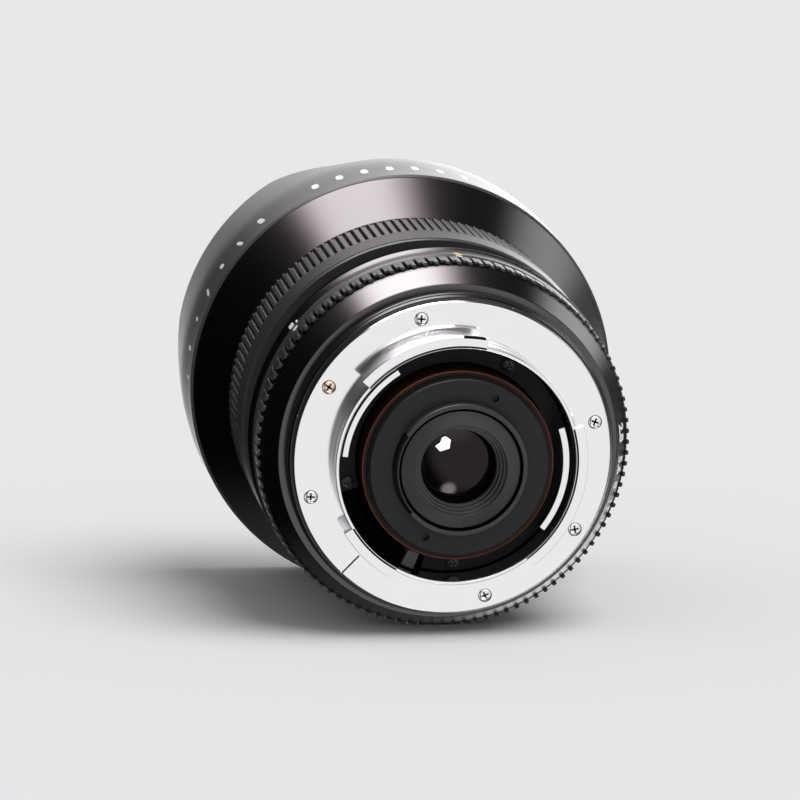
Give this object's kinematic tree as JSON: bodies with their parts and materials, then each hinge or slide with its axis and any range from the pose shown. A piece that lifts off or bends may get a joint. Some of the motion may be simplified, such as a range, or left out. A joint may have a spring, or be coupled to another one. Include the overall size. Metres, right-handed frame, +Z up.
{
  "type": "wide-angle prime lens",
  "caption": "Manual wide-angle camera lens with bayonet mount, toothed aperture ring, ribbed rubber focus ring, flared barrel and fixed petal hood.",
  "frame": {"origin": "centre of the mount flange's rear face, the plane that seats on the camera", "axes": "+Y forward along the optical axis, out of the hood; +Z up as the lens lies in the picture; +X to the right seen from behind"},
  "size_m": [0.087, 0.1009, 0.087],
  "materials": {
    "mount_plate": "polished bright plating",
    "bright_strip": "polished",
    "black_base": "satin black",
    "screw_steel": "bright machined",
    "black_screw": "blackened",
    "barrel_black": "satin black anodising",
    "cone_black": "semi-gloss black anodising",
    "hood_black": "matt dark grey, fine grain",
    "flat_black": "flat anti-reflection black",
    "grip_rubber": "matt ribbed rubber",
    "brass": "machined",
    "copper_ring": "lacquered, dull",
    "lever_grey": "grey zinc plate",
    "blade_black": "blackened spring steel",
    "coated_glass": "polished, coated"
  },
  "bodies": {
    "barrel": {"mount_flange": "mount_plate", "mount_base": "black_base", "mount_screws": "screw_steel", "rear_housing": "barrel_black", "detent_ball": "screw_steel", "detent_spring": "screw_steel", "recess_baffle": "flat_black", "baffle_screws": "black_screw", "guard_strip_long": "bright_strip", "guard_strip_short": "bright_strip", "index_ring": "barrel_black", "main_barrel": "barrel_black", "guide_keys": "brass", "nut_retainer": "brass", "front_barrel": "cone_black", "petal_hood": "hood_black", "hood_screws": "black_screw"},
    "aperture_ring": {"aperture_ring": "barrel_black", "aperture_link": "lever_grey"},
    "focus_ring": {"focus_ring": "barrel_black", "focus_grip": "grip_rubber", "helicoid_nut": "brass", "drive_screws": "screw_steel"},
    "optical_block": {"helicoid_cell": "flat_black", "front_cell": "flat_black", "cell_screws": "screw_steel", "front_retainer": "flat_black", "second_retainer": "flat_black", "third_retainer": "flat_black", "middle_cell": "flat_black", "rear_cell": "flat_black", "rear_disc": "barrel_black", "rear_ring": "barrel_black", "brass_ring": "copper_ring", "front_spacer": "flat_black", "rear_spacer": "flat_black", "iris_housing": "flat_black", "front_element": "coated_glass", "second_element": "coated_glass", "third_element": "coated_glass", "fourth_element": "coated_glass", "fifth_element": "coated_glass", "sixth_element": "coated_glass", "seventh_element": "coated_glass", "eighth_element": "coated_glass", "ninth_element": "coated_glass", "tenth_element": "coated_glass", "eleventh_element": "coated_glass", "twelfth_element": "coated_glass", "thirteenth_element": "coated_glass", "rear_element": "coated_glass"},
    "iris_ring": {"iris_ring": "flat_black", "stop_down_lever": "lever_grey"},
    "iris_blade_1": {"iris_blade_1": "blade_black"},
    "iris_blade_2": {"iris_blade_2": "blade_black"},
    "iris_blade_3": {"iris_blade_3": "blade_black"},
    "iris_blade_4": {"iris_blade_4": "blade_black"},
    "iris_blade_5": {"iris_blade_5": "blade_black"},
    "iris_blade_6": {"iris_blade_6": "blade_black"}
  },
  "joints": [
    {"name": "aperture_turn", "type": "hinge", "parent": "barrel", "child": "aperture_ring", "pos_m": [0, 0.0125, 0], "axis": [0, 1, 0], "range_deg": [0, 38.9]},
    {"name": "focus_turn", "type": "hinge", "parent": "barrel", "child": "focus_ring", "pos_m": [0, 0.0378, 0], "axis": [0, 1, 0], "range_deg": [0, 100]},
    {"name": "focus_slide", "type": "slide", "parent": "barrel", "child": "optical_block", "axis": [0, 1, 0], "range_m": [0, 0.0011]},
    {"name": "iris_turn", "type": "hinge", "parent": "optical_block", "child": "iris_ring", "pos_m": [0, 0.0318, 0], "axis": [0, 1, 0], "range_deg": [0, 38.9]},
    {"name": "blade_1_swing", "type": "hinge", "parent": "optical_block", "child": "iris_blade_1", "pos_m": [0.0154, 0.0282, 0], "axis": [0, 1, 0], "range_deg": [0, 15.86]},
    {"name": "blade_2_swing", "type": "hinge", "parent": "optical_block", "child": "iris_blade_2", "pos_m": [0.0077, 0.0282, 0.01334], "axis": [0, 1, 0], "range_deg": [0, 15.86]},
    {"name": "blade_3_swing", "type": "hinge", "parent": "optical_block", "child": "iris_blade_3", "pos_m": [-0.0077, 0.0282, 0.01334], "axis": [0, 1, 0], "range_deg": [0, 15.86]},
    {"name": "blade_4_swing", "type": "hinge", "parent": "optical_block", "child": "iris_blade_4", "pos_m": [-0.0154, 0.0282, 0], "axis": [0, 1, 0], "range_deg": [0, 15.86]},
    {"name": "blade_5_swing", "type": "hinge", "parent": "optical_block", "child": "iris_blade_5", "pos_m": [-0.0077, 0.0282, -0.01334], "axis": [0, 1, 0], "range_deg": [0, 15.86]},
    {"name": "blade_6_swing", "type": "hinge", "parent": "optical_block", "child": "iris_blade_6", "pos_m": [0.0077, 0.0282, -0.01334], "axis": [0, 1, 0], "range_deg": [0, 15.86]}
  ],
  "couplings": [
    {"joint": "focus_slide", "follows": "focus_turn", "m_per_rad": 0.00063025},
    {"joint": "iris_turn", "follows": "aperture_turn", "ratio": 1},
    {"joint": "blade_1_swing", "follows": "aperture_turn", "ratio": 0.40778},
    {"joint": "blade_2_swing", "follows": "aperture_turn", "ratio": 0.40778},
    {"joint": "blade_3_swing", "follows": "aperture_turn", "ratio": 0.40778},
    {"joint": "blade_4_swing", "follows": "aperture_turn", "ratio": 0.40778},
    {"joint": "blade_5_swing", "follows": "aperture_turn", "ratio": 0.40778},
    {"joint": "blade_6_swing", "follows": "aperture_turn", "ratio": 0.40778}
  ]
}
